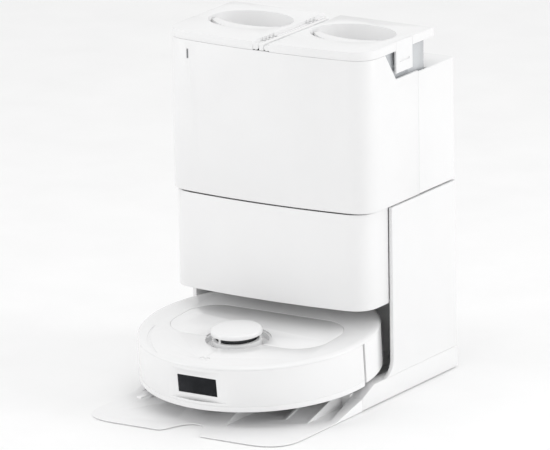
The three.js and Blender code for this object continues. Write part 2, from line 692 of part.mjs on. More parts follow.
function tankLid(side, name) {
  const places = knucklePlaces();
  const barrelStart = bowAt(PIN_X, 1);
  const barrelEnd = LID_BACK - 1;
  const inner = PIN_X + 5;
  const centre = side * RECESS_X;
  const skin = cut(
    prismZ(halfPlan(side, inner, HALF, 0, LID_BACK), LID_BOTTOM, HEIGHT, 6),
    prismZ(
      halfPlan(side, inner + LID_SKIN, HALF - LID_RIM, LID_SKIN, LID_BACK - LID_SKIN),
      LID_BOTTOM - 1,
      HEIGHT - LID_SKIN,
      6,
    ),
  );
  const pan = ellipse(centre, RECESS_Y, RECESS_HALF_X + PAN_WALL, RECESS_HALF_Y + PAN_WALL);
  const recess = ellipse(centre, RECESS_Y, RECESS_HALF_X, RECESS_HALF_Y);
  const barrel = rodY(BARREL_RADIUS, side * PIN_X, barrelStart, barrelEnd, PIN_Z, 14);
  const web = sideBox(side, PIN_X, inner + 1, barrelStart, barrelEnd, PIN_Z - 3.6, PIN_Z + 3.6);
  const body = join(skin, prismZ(pan, RECESS_FLOOR - PAN_WALL, HEIGHT - 1, 9), barrel, web);
  const latchEnd = LATCH_START + LATCH_LENGTH + SEAM;
  const latchRoom = sideBox(
    side, HALF - LATCH_THICKNESS - SEAM, HALF + 1, LATCH_START - SEAM, latchEnd, DECK_Z, HEIGHT + 1,
  );
  const slots = places.map((y) =>
    sideBox(
      side, 0, inner + 1, y - KNUCKLE_WIDTH / 2 - 1, y + KNUCKLE_WIDTH / 2 + 1, HEIGHT - 21, HEIGHT + 9,
    ),
  );
  const bore = rodY(
    PIN_RADIUS + 0.3, side * PIN_X, places[0] - 8, places[places.length - 1] + 8, PIN_Z, 12,
  );
  const reach = RECESS_HALF_X + 1.6;
  const gripBore = rodX(3.4, centre - reach, centre + reach, RECESS_Y, GRIP_Z, 12);
  const tools = [prismZ(recess, RECESS_FLOOR, HEIGHT + 1, 9), latchRoom, bore, gripBore, ...slots];
  piece(model, name + "_lid", cut(body, ...tools), WHITE);
}

function tankHandle(side, name) {
  const centre = side * RECESS_X;
  const half = RECESS_HALF_X - 4;
  const end = 6;
  const shape = new THREE.Shape();
  shape.moveTo(centre - half, RECESS_Y - end);
  shape.quadraticCurveTo(
    centre, RECESS_Y - end - 2 * (GRIP_BOW + GRIP_WIDTH / 2 - end), centre + half, RECESS_Y - end,
  );
  shape.lineTo(centre + half, RECESS_Y + end);
  shape.quadraticCurveTo(
    centre, RECESS_Y + end - 2 * (GRIP_BOW - GRIP_WIDTH / 2 + end), centre - half, RECESS_Y + end,
  );
  const bar = prismZ(shape, GRIP_Z - 3.5, GRIP_Z + 3.5, 12);
  const reach = RECESS_HALF_X + 1;
  const pivots = rodX(3, centre - reach, centre - half + 3, RECESS_Y, GRIP_Z, 12);
  const otherPivot = rodX(3, centre + half - 3, centre + reach, RECESS_Y, GRIP_Z, 12);
  piece(model, name + "_handle", join(bar, pivots, otherPivot), WHITE);
}

function tankLatch(side, name) {
  const inner = HALF - LATCH_THICKNESS;
  const end = LATCH_START + LATCH_LENGTH;
  const plate = sideBox(side, inner, HALF, LATCH_START, end, LATCH_BOTTOM, HEIGHT);
  const hook = sideBox(
    side, inner - 2.6, inner + 1, LATCH_START + 5, end - 5, LATCH_BOTTOM + 1, LATCH_BOTTOM + 5,
  );
  const fingerSlot = sideBox(
    side, HALF - 1.8, HALF + 1, LATCH_START + 10, end - 8, HEIGHT - 31, HEIGHT - 27.5,
  );
  piece(model, name + "_latch", cut(join(plate, hook), fingerSlot), WHITE);
}

function tanks() {
  for (const [side, name] of [[-1, "dirty"], [1, "clean"]]) {
    tankBody(side, name);
    hingePin(side, name);
    lidSeal(side, name);
    tankLid(side, name);
    tankHandle(side, name);
    tankLatch(side, name);
  }
}

// ---- Robot: every function below works in the robot's own frame, floor at z = 0
function chassis() {
  const plate = rodZ(CHASSIS_RADIUS, 0, 0, CHASSIS_BOTTOM, CHASSIS_TOP, 48);
  const tools = [];
  for (const side of [-1, 1]) {
    const inner = WHEEL_X - WHEEL_WIDTH / 2 - 14;
    const outer = WHEEL_X + WHEEL_WIDTH / 2 + 2;
    tools.push(sideBox(side, inner, outer, -WHEEL_RADIUS - 18, WHEEL_RADIUS + 6, 0, 30));
    tools.push(
      rodZ(MOP_RADIUS + 3, side * MOP_X, MOP_Y, 0, MOP_CLEARANCE + MOP_THICKNESS + MOP_LIFT + 2, 32),
    );
    tools.push(rodZ(MOP_SHAFT + 1.5, side * MOP_X, MOP_Y, 0, 30, 16));
  }
  tools.push(
    box(-BRUSH_HALF - 2, BRUSH_HALF + 2, BRUSH_Y - BRUSH_RADIUS - 2, BRUSH_Y + BRUSH_RADIUS + 2, 0, 30),
  );
  tools.push(rodZ(CASTER_RADIUS + CASTER_TRAIL + 3, 0, CASTER_Y, 0, CHASSIS_TOP + 1, 24));
  tools.push(rodZ(5, SIDE_BRUSH_X, SIDE_BRUSH_Y, 0, 30, 14));
  piece(robot, "robot_chassis", cut(plate, ...tools), DARK);
}

function shellOutline(inner, outer, from, to) {
  const shape = new THREE.Shape();
  shape.absarc(0, 0, outer, from, to, false);
  shape.absarc(0, 0, inner, to, from, true);
  return shape;
}

const coverPlan = (grow) =>
  roundedRect(
    -COVER_HALF - grow,
    COVER_HALF + grow,
    COVER_FRONT - grow,
    COVER_BACK + grow,
    COVER_CORNER + grow,
  );

// A shallow step in the rim, at the left of the front.
function crescent() {
  const [x, y] = [168 - ROBOT_RADIUS, 138.4 - ROBOT_RADIUS];
  const outer = rodZ(CRESCENT_RADIUS, x, y, ROBOT_TOP - 0.9, ROBOT_TOP + 1, 128);
  const inner = rodZ(CRESCENT_INNER, x + 79, y + 53.6, ROBOT_TOP - 2, ROBOT_TOP + 2, 160);
  return cut(outer, inner);
}

function robotShell() {
  const underTop = ROBOT_TOP - TOP_THICKNESS;
  const wall = cut(
    ring(SHELL_RADIUS - 3, SHELL_RADIUS, 0, 0, REAR_SKIRT - 0.4, underTop + 1, 72),
    box(-FACET_HALF, FACET_HALF, -ROBOT_RADIUS, -150, 0, underTop + 0.3),
  );
  const rim = [[0, underTop + 0.6], [RIM_RADIUS, underTop + 0.6]];
  for (let i = 1; i <= 5; i++) {
    const angle = (i * Math.PI) / 10;
    const across = RIM_RADIUS - RIM_RUN * (1 - Math.cos(angle));
    rim.push([across, ROBOT_TOP - RIM_DROP * (1 - Math.sin(angle))]);
  }
  rim.push([0, ROBOT_TOP]);
  const top = cut(
    turn(rim, 96),
    rodZ(LIDAR_WELL, 0, LIDAR_Y, 0, 100, 48),
    crescent(),
    box(-BIN_HALF - 1, BIN_HALF + 1, BIN_FRONT - 1, BIN_BACK + 1, 0, 100),
    prismZ(coverPlan(SEAM), ROBOT_TOP - COVER_THICKNESS - SEAM, ROBOT_TOP + 1, 8),
    ...[-1, 1].map((side) => rodZ(BUTTON_RADIUS + SEAM, side * BUTTON_X, BUTTON_Y, 0, 100, 14)),
  );
  const start = Math.asin((BUMPER_GAP - 1) / ROBOT_RADIUS);
  const rear = prismZ(
    shellOutline(SHELL_RADIUS - 2, ROBOT_RADIUS, start, Math.PI - start),
    REAR_SKIRT,
    underTop + 1,
    40,
  );
  const well = cut(
    rodZ(LIDAR_WELL + 2, 0, LIDAR_Y, LIDAR_WELL_FLOOR - 2, underTop + 1, 48),
    rodZ(LIDAR_WELL, 0, LIDAR_Y, LIDAR_WELL_FLOOR, ROBOT_TOP + 1, 48),
  );
  piece(robot, "robot_shell", join(wall, top, rear, well), WHITE);
}

// The slanted flat that holds the window: its face's place along Y at a height.
function facetAt(z) {
  const share = (z - FACET_BOTTOM) / (FACET_TOP - FACET_BOTTOM);
  return -ROBOT_RADIUS + FACET_DEPTH_LOW + share * (FACET_DEPTH_HIGH - FACET_DEPTH_LOW);
}

// A slab along the facet, from one depth behind its face to another.
function facetSlab(near, far, halfX, bottom, top) {
  const line = outline(
    [facetAt(bottom) + near, bottom],
    [facetAt(top) + near, top],
    [facetAt(top) + far, top],
    [facetAt(bottom) + far, bottom],
  );
  return prismX(line, -halfX, halfX);
}

function bumper() {
  const inner = ROBOT_RADIUS - BUMPER_WALL;
  const start = Math.PI + Math.asin(1 / ROBOT_RADIUS);
  const end = 3 * Math.PI - start;
  const band = prismZ(shellOutline(inner, ROBOT_RADIUS, start, end), BUMPER_BOTTOM, BUMPER_TOP, 60);
  const lip = shellOutline(ROBOT_RADIUS - 0.5, ROBOT_RADIUS + 1, start - 0.1, end + 0.1);
  const groove = prismZ(lip, BUMPER_SEAM_Z, BUMPER_SEAM_Z + 0.7, 60);
  const front = facetSlab(-30, 0, FACET_HALF + 10, FACET_BOTTOM, FACET_TOP);
  const sill = box(-FACET_HALF, FACET_HALF, facetAt(FACET_BOTTOM), -150, FACET_BOTTOM - 1.5, FACET_BOTTOM);
  const lintel = box(-FACET_HALF, FACET_HALF, facetAt(FACET_BOTTOM), -150, FACET_TOP, FACET_TOP + 1.5);
  const flat = join(facetSlab(0, 1.6, FACET_HALF, FACET_BOTTOM - 1.4, FACET_TOP + 1.4), sill, lintel);
  const disc = rodZ(ROBOT_RADIUS - 0.6, 0, 0, 0, BUMPER_TOP, 96);
  const behind = box(-FACET_HALF, FACET_HALF, -ROBOT_RADIUS, facetAt(FACET_BOTTOM) + 1.6, 0, ROBOT_TOP);
  const opening = box(-WINDOW_HALF, WINDOW_HALF, -ROBOT_RADIUS - 1, -100, WINDOW_BOTTOM, WINDOW_TOP);
  const face = overlap(overlap(flat, disc), behind);
  piece(robot, "robot_bumper", cut(join(cut(band, groove, front), face), opening), WHITE);
}

function cameraWindow() {
  const pane = facetSlab(0.3, 2, WINDOW_HALF - SEAM, WINDOW_BOTTOM + SEAM, WINDOW_TOP - SEAM);
  piece(robot, "camera_window", pane, GLOSS_BLACK);
}

function topCover() {
  const plate = prismZ(coverPlan(0), ROBOT_TOP - COVER_THICKNESS, ROBOT_TOP, 8);
  piece(robot, "top_cover", cut(plate, rodZ(LIDAR_WELL + 3, 0, LIDAR_Y, 0, 100, 32)), WHITE);
}

function lidar() {
  const turret = join(
    rodZ(28, 0, LIDAR_Y, LIDAR_WELL_FLOOR + SEAM, LIDAR_CAP_BOTTOM - 3, 24),
    rodZ(10, 0, LIDAR_Y, LIDAR_CAP_BOTTOM - 4, LIDAR_CAP_BOTTOM - 2.4, 16),
  );
  piece(robot, "lidar_turret", turret, DARK);
  const base = ring(31, LIDAR_RADIUS - 1, 0, LIDAR_Y, LIDAR_WELL_FLOOR + 3, LIDAR_BASE_TOP);
  const capProfile = [[0, LIDAR_CAP_BOTTOM], [LIDAR_RADIUS, LIDAR_CAP_BOTTOM]];
  for (let i = 0; i <= 5; i++) {
    const angle = (i * Math.PI) / 10;
    const across = LIDAR_RADIUS - CAP_FILLET * (1 - Math.cos(angle));
    capProfile.push([across, ROBOT_HEIGHT - CAP_CROWN - CAP_FILLET * (1 - Math.sin(angle))]);
  }
  capProfile.push([0, ROBOT_HEIGHT]);
  const cap = turn(capProfile, 64).translate(0, LIDAR_Y, 0);
  const posts = [0, 1, 2].map((i) => {
    const angle = -Math.PI / 2 - 0.25 + (i * 2 * Math.PI) / 3;
    const radius = LIDAR_RADIUS - 3.5;
    return rodZ(
      1.8,
      radius * Math.cos(angle),
      LIDAR_Y + radius * Math.sin(angle),
      LIDAR_BASE_TOP - 1,
      LIDAR_CAP_BOTTOM + 1,
      8,
    );
  });
  piece(robot, "lidar_cap", join(base, cap, ...posts), WHITE);
}

function buttons() {
  for (const [side, name] of [[-1, "power_button"], [1, "home_button"]]) {
    const rod = rodZ(BUTTON_RADIUS, side * BUTTON_X, BUTTON_Y, ROBOT_TOP - 6, ROBOT_TOP - 0.2, 14);
    piece(robot, name, rod, WHITE);
  }
}

function dustbin() {
  const shell = cut(
    box(-BIN_HALF, BIN_HALF, BIN_FRONT, BIN_BACK, CHASSIS_TOP + 4, ROBOT_TOP - 6),
    box(-BIN_HALF + 2, BIN_HALF - 2, BIN_FRONT + 2, BIN_BACK - 12, CHASSIS_TOP + 6, ROBOT_TOP),
  );
  const inletHole = box(-30, 30, BIN_FRONT - 1, BIN_FRONT + 3, CHASSIS_TOP + 10, CHASSIS_TOP + 28);
  piece(robot, "dustbin", cut(shell, inletHole), TANK);
}

function driveWheels() {
  for (const [side, name] of [[-1, "left"], [1, "right"]]) {
    const inner = WHEEL_X - WHEEL_WIDTH / 2;
    const arm = join(
      sideBox(side, inner - 12, inner - 3, ARM_PIVOT_Y - 6, 10, WHEEL_RADIUS - 9, WHEEL_RADIUS + 9),
      side > 0
        ? rodX(AXLE_RADIUS, inner - 6, inner + WHEEL_WIDTH - 3, 0, WHEEL_RADIUS, 14)
        : rodX(AXLE_RADIUS, -inner - WHEEL_WIDTH + 3, -inner + 6, 0, WHEEL_RADIUS, 14),
    );
    piece(robot, "wheel_arm_" + name, arm, DARK);
    const bore = AXLE_RADIUS + 0.4;
    const profile = [
      [bore, -WHEEL_WIDTH / 2], [WHEEL_RADIUS - 3, -WHEEL_WIDTH / 2], [WHEEL_RADIUS, -WHEEL_WIDTH / 2 + 3],
      [WHEEL_RADIUS, WHEEL_WIDTH / 2 - 3], [WHEEL_RADIUS - 3, WHEEL_WIDTH / 2], [bore, WHEEL_WIDTH / 2],
      [bore, -WHEEL_WIDTH / 2],
    ].map(([r, z]) => new THREE.Vector2(r, z));
    const wheel = new THREE.LatheGeometry(profile, 32).rotateZ(Math.PI / 2);
    piece(robot, "wheel_" + name, wheel.translate(side * WHEEL_X, 0, WHEEL_RADIUS), RUBBER);
  }
}

function caster() {
  const axleY = CASTER_Y + CASTER_TRAIL;
  const fork = join(
    rodZ(7, 0, CASTER_Y, CHASSIS_TOP + 7.5, CHASSIS_TOP + 24, 16),
    box(-11, 11, axleY - 14, axleY + 4, CHASSIS_TOP + 7.5, CHASSIS_TOP + 10.5),
    box(-11, -8.6, axleY - 6, axleY + 4, CASTER_RADIUS - 4, CHASSIS_TOP + 9),
    box(8.6, 11, axleY - 6, axleY + 4, CASTER_RADIUS - 4, CHASSIS_TOP + 9),
    rodX(2, -9, 9, axleY, CASTER_RADIUS, 10),
  );
  piece(robot, "caster_fork", fork, GREY);
  const wheel = cut(
    rodX(CASTER_RADIUS, -8, 8, axleY, CASTER_RADIUS, 24),
    rodX(2.3, -9, 9, axleY, CASTER_RADIUS, 10),
  );
  piece(robot, "caster_wheel", wheel, RUBBER);
}

function brushes() {
  const blades = 6;
  const tips = Array.from({ length: blades * 2 }, (_, i) => {
    const angle = (i * Math.PI) / blades;
    const radius = i % 2 ? BRUSH_RADIUS * 0.55 : BRUSH_RADIUS;
    return [BRUSH_Y + radius * Math.cos(angle), BRUSH_RADIUS + 1 + radius * Math.sin(angle)];
  });
  piece(robot, "main_brush", prismX(outline(...tips), -BRUSH_HALF, BRUSH_HALF), GREY);
  const arms = [0, 1, 2].map((i) => {
    const arm = box(0, SIDE_BRUSH_RADIUS, -4, 4, 3, 5);
    return arm.rotateZ((i * 2 * Math.PI) / 3 + 0.3).translate(SIDE_BRUSH_X, SIDE_BRUSH_Y, 0);
  });
  const hub = rodZ(8, SIDE_BRUSH_X, SIDE_BRUSH_Y, 2, CHASSIS_BOTTOM - 1, 16);
  const stub = rodZ(4, SIDE_BRUSH_X, SIDE_BRUSH_Y, 4, CHASSIS_TOP + 8, 14);
  piece(robot, "side_brush", join(hub, stub, ...arms), WHITE);
}

function mops() {
  const padTop = MOP_CLEARANCE + MOP_THICKNESS;
  const bridge = box(-MOP_X - 8, MOP_X + 8, MOP_Y - 7, MOP_Y + 7, 58, 64);
  const legs = [-1, 1].map((side) =>
    rodZ(MOP_SHAFT, side * MOP_X, MOP_Y, padTop + SEAM, 59, 16),
  );
  piece(robot, "mop_carrier", join(bridge, ...legs), GREY);
  for (const [side, name] of [[-1, "mop_pad_left"], [1, "mop_pad_right"]]) {
    piece(robot, name, rodZ(MOP_RADIUS, side * MOP_X, MOP_Y, MOP_CLEARANCE, padTop, 32), FABRIC);
  }
}

function power() {
  piece(robot, "battery", box(-44, 44, 58, 86, CHASSIS_TOP + 2, 56), GREY);
  piece(robot, "fan_motor", rodZ(22, FAN_X, FAN_Y, CHASSIS_TOP + 2, 60, 24), DARK);
}

rampTray();
basePlate();
washBasin();
feet();
sidePanel(-1, "left_side_panel");
sidePanel(1, "right_side_panel");
innerBackWall();
chargingContacts();
bayCeiling();
dustDoor();
dustBag();
suctionMotor();
backCover();
powerInlet();
innerMachinery();
tankDeck();
frontShell();
statusLight();
rearShell();
centreSpine();
tanks();
chassis();
robotShell();
bumper();
cameraWindow();
topCover();
lidar();
buttons();
dustbin();
driveWheels();
caster();
brushes();
mops();
power();

export default model;
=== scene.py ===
"""Looks for a robot vacuum docked in its cleaning station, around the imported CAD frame.

Metres, +Z up.
"""

import json
import math

import bmesh
import bpy
from mathutils import Matrix, Vector


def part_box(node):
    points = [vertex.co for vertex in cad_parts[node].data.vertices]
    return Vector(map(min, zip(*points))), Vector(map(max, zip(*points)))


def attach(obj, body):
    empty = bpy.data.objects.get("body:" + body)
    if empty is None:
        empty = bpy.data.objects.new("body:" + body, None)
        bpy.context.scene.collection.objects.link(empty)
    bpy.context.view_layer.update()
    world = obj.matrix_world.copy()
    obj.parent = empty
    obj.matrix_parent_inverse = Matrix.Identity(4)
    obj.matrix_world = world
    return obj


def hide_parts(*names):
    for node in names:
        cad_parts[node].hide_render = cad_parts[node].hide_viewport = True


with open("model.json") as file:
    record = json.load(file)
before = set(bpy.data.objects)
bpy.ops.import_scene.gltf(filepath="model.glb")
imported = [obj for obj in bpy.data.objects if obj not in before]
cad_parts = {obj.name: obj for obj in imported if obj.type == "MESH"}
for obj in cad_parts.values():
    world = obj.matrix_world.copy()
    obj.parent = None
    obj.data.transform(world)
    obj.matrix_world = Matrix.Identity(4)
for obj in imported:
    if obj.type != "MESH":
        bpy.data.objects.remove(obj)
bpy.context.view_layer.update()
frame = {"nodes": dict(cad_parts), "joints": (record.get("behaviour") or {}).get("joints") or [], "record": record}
MM = 0.001
JOINTS = {joint["name"]: joint for joint in frame["joints"]}
BODY_OF = {
    node: body
    for body, nodes in frame["record"]["behaviour"]["bodies"].items()
    for node in nodes
}

# The robot's own frame: its floor plane at z = 0, its middle on the Z axis, its front at -Y.
LIDAR_Y = -0.058
LIDAR_MARK_Z = 0.085
ROBOT_UP = Vector(JOINTS["lidar_spin"]["axis"])
ROBOT_PITCH = math.atan2(-ROBOT_UP.y, ROBOT_UP.z)
ROBOT_TURN = Matrix.Rotation(ROBOT_PITCH, 4, "X")
ROBOT_ORIGIN = Vector(JOINTS["lidar_spin"]["pos_m"]) - ROBOT_TURN @ Vector((0, LIDAR_Y, LIDAR_MARK_Z))
ROBOT = Matrix.Translation(ROBOT_ORIGIN) @ ROBOT_TURN


# ---- Materials
def new_material(name):
    material = bpy.data.materials.new(name)
    material.use_nodes = True
    return material, material.node_tree.nodes, material.node_tree.links


def set_shader(shader, **values):
    for label, value in values.items():
        shader.inputs[label.replace("_", " ")].default_value = value


def noise(nodes, links, scale, detail=3.0):
    """A noise texture in the piece's own coordinates."""
    place = nodes.new("ShaderNodeTexCoord")
    texture = nodes.new("ShaderNodeTexNoise")
    texture.inputs["Scale"].default_value = scale
    texture.inputs["Detail"].default_value = detail
    links.new(place.outputs["Object"], texture.inputs["Vector"])
    return texture


def ramp(nodes, links, source, low, high, start=0.3, end=0.7):
    """Maps a texture's value to a colour between low and high."""
    mix = nodes.new("ShaderNodeValToRGB")
    mix.color_ramp.elements[0].position = start
    mix.color_ramp.elements[1].position = end
    mix.color_ramp.elements[0].color = low
    mix.color_ramp.elements[1].color = high
    links.new(source, mix.inputs["Fac"])
    return mix


def span(nodes, links, source, low, high):
    """Maps a texture's value to a number between low and high."""
    node = nodes.new("ShaderNodeMapRange")
    node.inputs["To Min"].default_value = low
    node.inputs["To Max"].default_value = high
    links.new(source, node.inputs["Value"])
    return node


def add_bump(nodes, links, source, shader, strength, distance):
    bump = nodes.new("ShaderNodeBump")
    bump.inputs["Strength"].default_value = strength
    bump.inputs["Distance"].default_value = distance
    links.new(source, bump.inputs["Height"])
    links.new(bump.outputs["Normal"], shader.inputs["Normal"])


def moulded_plastic(name, colour, roughness, grain=2600.0, bump=0.06, coat=0.0, drift=0.012):
    """Moulded plastic: a faint drift of colour, an uneven polish and a fine spark-eroded grain."""
    material, nodes, links = new_material(name)
    shader = nodes["Principled BSDF"]
    set_shader(shader, Coat_Weight=coat, Coat_Roughness=0.12, IOR=1.5)
    drifted = noise(nodes, links, 9.0)
    low = [max(0.0, c - drift) for c in colour] + [1.0]
    high = [min(1.0, c + drift) for c in colour] + [1.0]
    colours = ramp(nodes, links, drifted.outputs["Fac"], low, high)
    links.new(colours.outputs["Color"], shader.inputs["Base Color"])
    polish = noise(nodes, links, 60.0, 4.0)
    rough = span(nodes, links, polish.outputs["Fac"], roughness - 0.05, roughness + 0.05)
    links.new(rough.outputs["Result"], shader.inputs["Roughness"])
    grained = noise(nodes, links, grain, 2.0)
    add_bump(nodes, links, grained.outputs["Fac"], shader, bump, 0.0001)
    return material


def tinted_tank(name, colour):
    """Semi-clear tank plastic, seen mostly as a pale smoky grey."""
    material = moulded_plastic(name, colour, 0.22, grain=900.0, bump=0.03, coat=0.3)
    shader = material.node_tree.nodes["Principled BSDF"]
    shader.inputs["Transmission Weight"].default_value = 0.12
    return material


def black_glass(name):
    """Glossy black window with a faint unevenness in its polish."""
    material, nodes, links = new_material(name)
    shader = nodes["Principled BSDF"]
    set_shader(shader, Specular_IOR_Level=0.16, IOR=1.5)
    cloud = noise(nodes, links, 45.0)
    low, high = (0.006, 0.007, 0.009, 1), (0.013, 0.014, 0.017, 1)
    colours = ramp(nodes, links, cloud.outputs["Fac"], low, high)
    links.new(colours.outputs["Color"], shader.inputs["Base Color"])
    rough = span(nodes, links, cloud.outputs["Fac"], 0.05, 0.11)
    links.new(rough.outputs["Result"], shader.inputs["Roughness"])
    return material


def rubber(name, colour):
    """Black rubber with a dusty, uneven sheen."""
    return moulded_plastic(name, colour, 0.78, grain=1400.0, bump=0.2, drift=0.01)


def brushed_metal(name):
    """Bright metal with fine lines drawn along X."""
    material, nodes, links = new_material(name)
    shader = nodes["Principled BSDF"]
    set_shader(shader, Metallic=1.0)
    place = nodes.new("ShaderNodeTexCoord")
    stretch = nodes.new("ShaderNodeMapping")
    stretch.inputs["Scale"].default_value = (30.0, 2500.0, 2500.0)
    lines = nodes.new("ShaderNodeTexNoise")
    lines.inputs["Scale"].default_value = 1.0
    links.new(place.outputs["Object"], stretch.inputs["Vector"])
    links.new(stretch.outputs["Vector"], lines.inputs["Vector"])
    low, high = (0.5, 0.51, 0.53, 1), (0.68, 0.69, 0.71, 1)
    colours = ramp(nodes, links, lines.outputs["Fac"], low, high)
    links.new(colours.outputs["Color"], shader.inputs["Base Color"])
    rough = span(nodes, links, lines.outputs["Fac"], 0.22, 0.38)
    links.new(rough.outputs["Result"], shader.inputs["Roughness"])
    add_bump(nodes, links, lines.outputs["Fac"], shader, 0.1, 0.0001)
    return material


def cloth(name, low, high, scale):
    """Napped or non-woven cloth: fibres at the given scale."""
    material, nodes, links = new_material(name)
    shader = nodes["Principled BSDF"]
    set_shader(shader, Sheen_Weight=0.35, Sheen_Roughness=0.5, Roughness=0.95)
    fibres = noise(nodes, links, scale, 6.0)
    colours = ramp(nodes, links, fibres.outputs["Fac"], low, high, 0.35, 0.65)
    links.new(colours.outputs["Color"], shader.inputs["Base Color"])
    add_bump(nodes, links, fibres.outputs["Fac"], shader, 0.6, 0.0006)
    return material


def light_pipe(name):
    """The frosted bar of the status light, unlit, grey in its dark slot."""
    return moulded_plastic(name, (0.2, 0.21, 0.22), 0.3, coat=0.4)


WHITE = moulded_plastic("satin_white", (0.86, 0.86, 0.862), 0.33, coat=0.12)
ROBOT_WHITE = moulded_plastic(
    "gloss_white", (0.87, 0.87, 0.872), 0.22, grain=1800.0, bump=0.02, coat=0.35
)
# Inner white is the same white plastic, painted a little lighter than the shell white to stand in for bounce light
# in the shaded bay. It is partly real colour and partly painted light, and the side brush shares it.
INNER = moulded_plastic("inner_white", (0.89, 0.89, 0.892), 0.48, bump=0.12)
TRAY_WHITE = moulded_plastic("tray_white", (0.9, 0.9, 0.902), 0.42, grain=1500.0, bump=0.14)
TANK = tinted_tank("tank_smoke", (0.66, 0.68, 0.70))
DARK = moulded_plastic("dark_plastic", (0.035, 0.036, 0.04), 0.45, bump=0.15)
CHASSIS = moulded_plastic("chassis_grey", (0.62, 0.62, 0.63), 0.5, bump=0.15)
CARD = moulded_plastic("collar_card", (0.62, 0.56, 0.46), 0.8, grain=900.0, bump=0.2, drift=0.03)
GREY = moulded_plastic("grey_plastic", (0.3, 0.31, 0.33), 0.45, bump=0.12)
GLASS = black_glass("window_black")
RUBBER = rubber("black_rubber", (0.022, 0.022, 0.023))
STEEL = brushed_metal("bright_steel")
MOP = cloth("microfibre", (0.36, 0.38, 0.42, 1), (0.62, 0.64, 0.68, 1), 1500.0)
BAG = cloth("bag_fleece", (0.7, 0.69, 0.65, 1), (0.86, 0.85, 0.82, 1), 700.0)
LIGHT = light_pipe("light_pipe")


# ---- Mesh tools
def new_piece(name, mesh, material, body, slot, *nodes):
    """A piece of the object: placed, painted, riding on its body and standing for its CAD nodes."""
    piece = bpy.data.objects.new(name, mesh)
    bpy.context.scene.collection.objects.link(piece)
    mesh.materials.clear()
    mesh.materials.append(material)
    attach(piece, body)
    if nodes:
        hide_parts(*nodes)
    return piece


def smooth(mesh, angle=32.0):
    mesh.shade_smooth()
    mesh.set_sharp_from_angle(angle=math.radians(angle))


def mesh_from(builder, name):
    bmesh.ops.recalc_face_normals(builder, faces=builder.faces)
    mesh = bpy.data.meshes.new(name)
    builder.to_mesh(mesh)
    builder.free()
    smooth(mesh)
    return mesh


def apply_modifiers(piece):
    """Leaves the piece with its modifiers' result as its own mesh."""
    bpy.context.view_layer.update()
    graph = bpy.context.evaluated_depsgraph_get()
    mesh = bpy.data.meshes.new_from_object(piece.evaluated_get(graph))
    piece.modifiers.clear()
    piece.data = mesh
    return mesh


def round_edges(piece, width, segments=3, angle=40.0):
    """Rounds the hard edges of a moulding."""
    bevel = piece.modifiers.new("round", "BEVEL")
    bevel.width = width
    bevel.segments = segments
    bevel.limit_method = "ANGLE"
    bevel.angle_limit = math.radians(angle)
    bevel.use_clamp_overlap = True
    bevel.harden_normals = False
    apply_modifiers(piece)
    smooth(piece.data, 38.0)


def refined(node, material, slot, width=0.0008, segments=3, angle=40.0):
    """Stands for a CAD node of the right shape: the same faces, with their edges rounded as moulded."""
    builder = bmesh.new()
    builder.from_mesh(frame["nodes"][node].data)
    bmesh.ops.remove_doubles(builder, verts=builder.verts, dist=0.00002)
    bmesh.ops.dissolve_limit(
        builder, angle_limit=math.radians(0.6), verts=builder.verts, edges=builder.edges
    )
    mesh = mesh_from(builder, node)
    piece = new_piece(node + "_skin", mesh, material, BODY_OF[node], slot, node)
    if width:
        round_edges(piece, width, segments, angle)
    return piece


def loft(loops):
    """Joins rings of points of equal count into one closed skin, in order."""
    builder = bmesh.new()
    rings = [[builder.verts.new(point) for point in loop] for loop in loops]
    count = len(rings[0])
    for low, high in zip(rings, rings[1:]):
        for i in range(count):
            j = (i + 1) % count
            builder.faces.new((low[i], low[j], high[j], high[i]))
    builder.faces.new(list(reversed(rings[0])))
    builder.faces.new(rings[-1])
    return builder


def rounded_rect(x0, x1, y0, y1, radius, steps=14):
    """A rounded rectangle as (x, y) points."""
    corners = [
        (x1 - radius, y0 + radius, -90),
        (x1 - radius, y1 - radius, 0),
        (x0 + radius, y1 - radius, 90),
        (x0 + radius, y0 + radius, 180),
    ]
    points = []
    for x, y, start in corners:
        for i in range(steps + 1):
            angle = math.radians(start + 90 * i / steps)
            points.append((x + radius * math.cos(angle), y + radius * math.sin(angle)))
    return points


def place(builder, matrix):
    bmesh.ops.transform(builder, matrix=matrix, verts=builder.verts)
    return builder


# ---- Station: mouldings that keep the CAD shape, with moulded edges
def station_mouldings():
    plain = {"width": 0.0004, "segments": 2}
    for node in ("left_side_panel", "right_side_panel", "back_cover"):
        refined(node, WHITE, "shell_white", **plain)
    refined("rear_shell", WHITE, "shell_white", width=0.0014)
    refined("front_shell", WHITE, "shell_white", width=0.0004, segments=2)
    refined("dust_door", WHITE, "shell_white", width=0.0007, segments=2)
    refined("base_plate", WHITE, "shell_white", width=0.0005)
    refined("ramp_tray", TRAY_WHITE, "shell_white", width=0.0009, angle=30.0)
    refined("centre_spine", ROBOT_WHITE, "shell_white", width=0.0009)
    for node in ("wash_basin", "inner_back_wall", "bay_ceiling", "tank_deck"):
        refined(node, INNER, "inner_white", width=0.0006, segments=2)
    for side in ("clean", "dirty"):
        refined(side + "_lid", WHITE, "shell_white", width=0.0006, segments=3)
        refined(side + "_handle", WHITE, "shell_white", width=0.0016)
        refined(side + "_latch", WHITE, "shell_white", width=0.0007)
        refined(side + "_tank", TANK, "tank_plastic", width=0.0006, segments=2)


